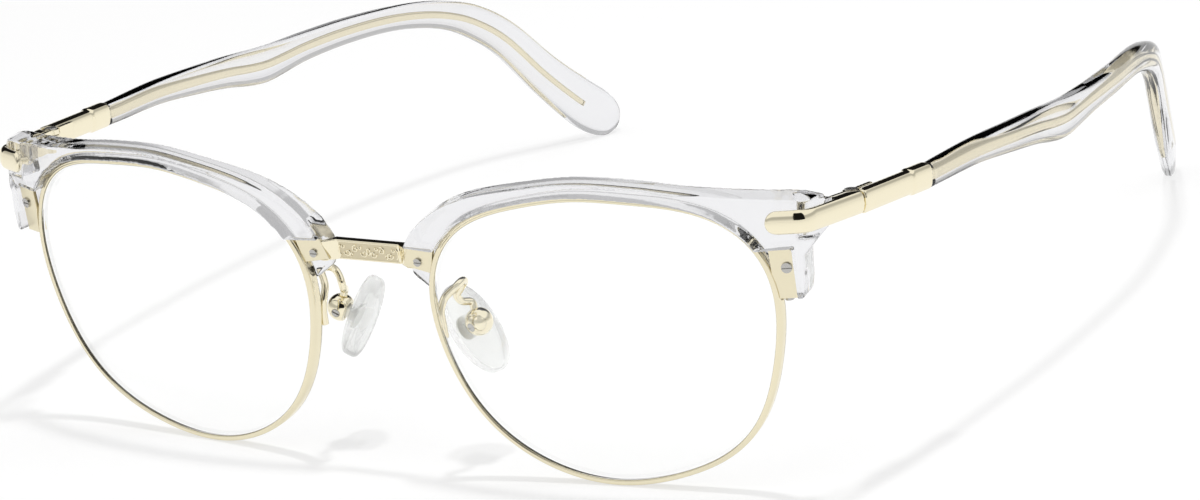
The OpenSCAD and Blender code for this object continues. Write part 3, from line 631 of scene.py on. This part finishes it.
# %% Pad arms
NASAL_BACK = 2.10682
ARM_R, ARM_STEPS = 0.55, 16
BOX = Vector((11.8, 9.00682, -1.75))
ARM_END = Vector((-0.327089, 0.140181, 0.934539))
ARM = [(-0.45, 0.6, -1.3), (-0.5, 0.65, 0.6), (-0.7, 1, 2.3), (-0.6, 2, 3.7), (0, 2.8, 4.5),
       (0.7, 3.5, 5.1), (0.95, 4.2, 5.4), (0.85, 5, 5.35), (0.6, 5.8, 5), (0.2, 6.2, 4.4),
       (-0.4, 6, 3.6), (-0.9, 5.6, 2.7), (-0.6, 6.1, 1.6)]
arm_points = [(BRIDGE_W / 2 + x, NASAL_BACK + y, z) for x, y, z in ARM]
arm_points += [tuple(BOX + 2.9 * ARM_END), tuple(BOX + 1.8 * ARM_END)]
arm_line = [Vector(p) for p in curve_through(arm_points, 7)]
for side, word in ((1, "left"), (-1, "right")):
    rings = []
    for i, at in enumerate(arm_line):
        along = (arm_line[min(i + 1, len(arm_line) - 1)] - arm_line[max(i - 1, 0)]).normalized()
        out = along.cross(Vector((1, 0, 0))).normalized()
        over = out.cross(along)
        rings.append([to_row(at + ARM_R * (out * math.cos(w) + over * math.sin(w)), side)
                      for w in (2 * math.pi * k / ARM_STEPS for k in range(ARM_STEPS))])
    piece = loft("pad_wire_" + word, rings)
    piece.data.materials.append(polished_gold)
    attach(piece, "front")
    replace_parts(piece, "pad_arm_" + word)
print("two pad arms of", len(arm_line), "stations")

# %% [markdown]
# ## Nose pads
# The pads are soft clear ovals, moulded round a small stem plate. A ball from bmesh is pressed into the
# oval, flat on its two faces and full at its rim.

# %% Nose pads
PAD_LEAN, PAD_TOE = math.radians(28), math.radians(7)
PAD_AT, PAD_HALF, PAD_ROUND = (-3.1, 1.4, -0.8), (1.48, 3.78, 6.95), 0.45


def from_pad(p):
    """From the left pad's own axes, x across its thickness, to the front's."""
    x = p.x * math.cos(PAD_TOE) + p.y * math.sin(PAD_TOE)
    y = -p.x * math.sin(PAD_TOE) + p.y * math.cos(PAD_TOE)
    return BOX + Vector((x * math.cos(PAD_LEAN) - p.z * math.sin(PAD_LEAN), y,
                         x * math.sin(PAD_LEAN) + p.z * math.cos(PAD_LEAN)))


for side, word in ((1, "left"), (-1, "right")):
    bm = bmesh.new()
    bmesh.ops.create_uvsphere(bm, u_segments=64, v_segments=32, radius=1.0)
    for vert in bm.verts:
        c = vert.co.copy()
        flat = power(c.z, PAD_ROUND)
        reach = Vector((c.x, c.y)).length
        if reach > 1e-6:
            c.x, c.y = c.x / reach * reach ** PAD_ROUND, c.y / reach * reach ** PAD_ROUND
        # The ball's poles become the two faces of the pad
        place = [at + half * share for at, half, share in zip(PAD_AT, PAD_HALF, (flat, c.x, c.y))]
        vert.co = to_row(from_pad(Vector(place)), side)
    bmesh.ops.recalc_face_normals(bm, faces=bm.faces)
    mesh = bpy.data.meshes.new("silicone_pad_" + word)
    bm.to_mesh(mesh)
    bm.free()
    mesh.shade_smooth()
    piece = new_piece("silicone_pad_" + word, mesh)
    piece.data.materials.append(silicone)
    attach(piece, "pad_" + word)
    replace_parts(piece, "nose_pad_" + word)
print("two nose pads")

# %% [markdown]
# ## Floor, light and surroundings
# Shop pictures of clear frames are made on white. The floor is one large sheet. It is grey to lamps, and
# it glows for rays from the camera, a mirror or a clear piece, so that it looks white and still keeps a
# pale shadow.

# %% Floor
FLOOR_HALF, FLOOR_GREY, FLOOR_GLOW = 6.0, 0.42, 0.60
bm = bmesh.new()
bmesh.ops.create_grid(bm, x_segments=1, y_segments=1, size=FLOOR_HALF)
mesh = bpy.data.meshes.new("floor")
bm.to_mesh(mesh)
bm.free()
floor = new_piece("floor", mesh)
material, shader, tree = principled("white floor")
shader.inputs["Base Color"].default_value = (FLOOR_GREY, FLOOR_GREY, FLOOR_GREY, 1.0)
shader.inputs["Roughness"].default_value = 1.0
shader.inputs["Specular IOR Level"].default_value = 0.0
path = tree.nodes.new("ShaderNodeLightPath")
mirrored = tree.nodes.new("ShaderNodeMath")
mirrored.operation = "MAXIMUM"
looked_at = tree.nodes.new("ShaderNodeMath")
looked_at.operation = "MAXIMUM"
tree.links.new(path.outputs["Is Camera Ray"], mirrored.inputs[0])
tree.links.new(path.outputs["Is Glossy Ray"], mirrored.inputs[1])
tree.links.new(mirrored.outputs["Value"], looked_at.inputs[0])
tree.links.new(path.outputs["Is Transmission Ray"], looked_at.inputs[1])
glow = tree.nodes.new("ShaderNodeMath")
glow.operation = "MULTIPLY"
glow.inputs[1].default_value = FLOOR_GLOW
tree.links.new(looked_at.outputs["Value"], glow.inputs[0])
shader.inputs["Emission Color"].default_value = (1.0, 1.0, 1.0, 1.0)
tree.links.new(glow.outputs["Value"], shader.inputs["Emission Strength"])
mesh.materials.append(material)
print("floor", 2 * FLOOR_HALF, "m wide")

# %% [markdown]
# White cards stand round the glasses. The camera looks through a dark gap between two of them, and a dark
# band stands behind the glasses. Polished metal shows all of it: white nearly everywhere, and crisp black
# where it faces the gap or the band. The cards are brighter overhead and close to the floor. The camera
# itself sees plain white, and what is seen through clear pieces never falls below a pale grey.

# %% Surroundings
GAP_TURN, GAP_RATIO, GAP_LOW, GAP_HIGH = math.radians(40), 0.42, 0.10, 0.90
BAND_RATIO, BAND_LOW, BAND_HIGH = 1.1, 0.08, 0.80
CARDS_LOW, CARDS_HIGH, NEAR_FLOOR, DARKEST, CLEAR_LEAST = 0.62, 1.2, 0.5, 0.012, 0.7
world = bpy.data.worlds.new("studio")
bpy.context.scene.world = world
world.use_nodes = True
n, link = world.node_tree.nodes, world.node_tree.links.new
n.clear()
output = n.new("ShaderNodeOutputWorld")
coord = n.new("ShaderNodeTexCoord")
split = n.new("ShaderNodeSeparateXYZ")
link(coord.outputs["Generated"], split.inputs["Vector"])


def math_node(operation, *values):
    node = n.new("ShaderNodeMath")
    node.operation = operation
    for i, v in enumerate(values):
        if isinstance(v, (int, float)):
            node.inputs[i].default_value = v
        else:
            link(v, node.inputs[i])
    return node.outputs["Value"]


def step_up(value, edge, soft):
    """0 below the edge, 1 above it, over a soft width."""
    node = n.new("ShaderNodeMapRange")
    node.inputs["From Min"].default_value = edge - soft
    node.inputs["From Max"].default_value = edge + soft
    link(value, node.inputs["Value"])
    return node.outputs["Result"]


def below(value, edge, soft):
    return math_node("SUBTRACT", 1.0, step_up(value, edge, soft))


# How far each direction points towards the gap, and how far to either side of it
gap_x, gap_y = math.sin(GAP_TURN), -math.cos(GAP_TURN)
toward = math_node("ADD", math_node("MULTIPLY", split.outputs["X"], gap_x),
                   math_node("MULTIPLY", split.outputs["Y"], gap_y))
across = math_node("SUBTRACT", math_node("MULTIPLY", split.outputs["X"], -gap_y),
                   math_node("MULTIPLY", split.outputs["Y"], -gap_x))
sideways = math_node("ABSOLUTE", across)
height = split.outputs["Z"]
ratio = math_node("DIVIDE", sideways, math_node("MAXIMUM", toward, 0.001))
in_gap = math_node("MULTIPLY", below(ratio, GAP_RATIO, 0.01), step_up(height, GAP_LOW, 0.01))
in_gap = math_node("MULTIPLY", in_gap, below(height, GAP_HIGH, 0.01))
in_gap = math_node("MULTIPLY", in_gap, step_up(toward, 0.0, 0.001))
behind = below(toward, -0.12, 0.01)
band = math_node("MULTIPLY", step_up(height, BAND_LOW, 0.02), below(height, BAND_HIGH, 0.02))
away = math_node("MAXIMUM", math_node("MULTIPLY", toward, -1.0), 0.001)
band = math_node("MULTIPLY", band, below(math_node("DIVIDE", sideways, away), BAND_RATIO, 0.03))
dark = math_node("MAXIMUM", in_gap, math_node("MULTIPLY", behind, band))
cards = n.new("ShaderNodeMapRange")
cards.inputs["From Min"].default_value = 0.42
cards.inputs["From Max"].default_value = 0.55
cards.inputs["To Min"].default_value = CARDS_LOW
cards.inputs["To Max"].default_value = CARDS_HIGH
link(height, cards.inputs["Value"])
near_floor = math_node("MULTIPLY", below(height, 0.15, 0.10), NEAR_FLOOR)
lit = math_node("MULTIPLY", math_node("ADD", cards.outputs["Result"], near_floor),
                math_node("SUBTRACT", 1.0, dark))
lit = math_node("ADD", lit, DARKEST)
path = n.new("ShaderNodeLightPath")
lit = math_node("MAXIMUM", lit, math_node("MULTIPLY", path.outputs["Is Transmission Ray"], CLEAR_LEAST))
background, white = n.new("ShaderNodeBackground"), n.new("ShaderNodeBackground")
mix = n.new("ShaderNodeMixShader")
link(lit, background.inputs["Strength"])
white.inputs["Strength"].default_value = 1.0
link(path.outputs["Is Camera Ray"], mix.inputs["Fac"])
link(background.outputs["Background"], mix.inputs[1])
link(white.outputs["Background"], mix.inputs[2])
link(mix.outputs["Shader"], output.inputs["Surface"])
print("white cards with a dark gap and a dark band")

# %% [markdown]
# One small soft lamp hangs almost straight overhead and throws the pale, slanting shadows of the rims and
# temples. Metal and clear pieces don't mirror it, because the cards already light them.

# %% Key light
KEY_SIZE, KEY_WATTS = 0.04, 1.5
KEY_AT, KEY_AIM = (0.056, -0.035, 0.64), (0.02, 0.0, 0)
lamp_data = bpy.data.lights.new("key", "AREA")
lamp_data.shape = "RECTANGLE"
lamp_data.size, lamp_data.size_y = KEY_SIZE, KEY_SIZE
lamp_data.energy = KEY_WATTS
lamp = bpy.data.objects.new("key", lamp_data)
bpy.context.scene.collection.objects.link(lamp)
lamp.location = KEY_AT
lamp.rotation_euler = (Vector(KEY_AIM) - Vector(KEY_AT)).to_track_quat("-Z", "Y").to_euler()
lamp.visible_glossy = False
lamp.visible_transmission = False
print("one lamp,", KEY_WATTS, "W")

# %% [markdown]
# ## Picture
# The colours are shown as they are, with the Standard view.

# %% View
bpy.context.scene.view_settings.view_transform = "Standard"
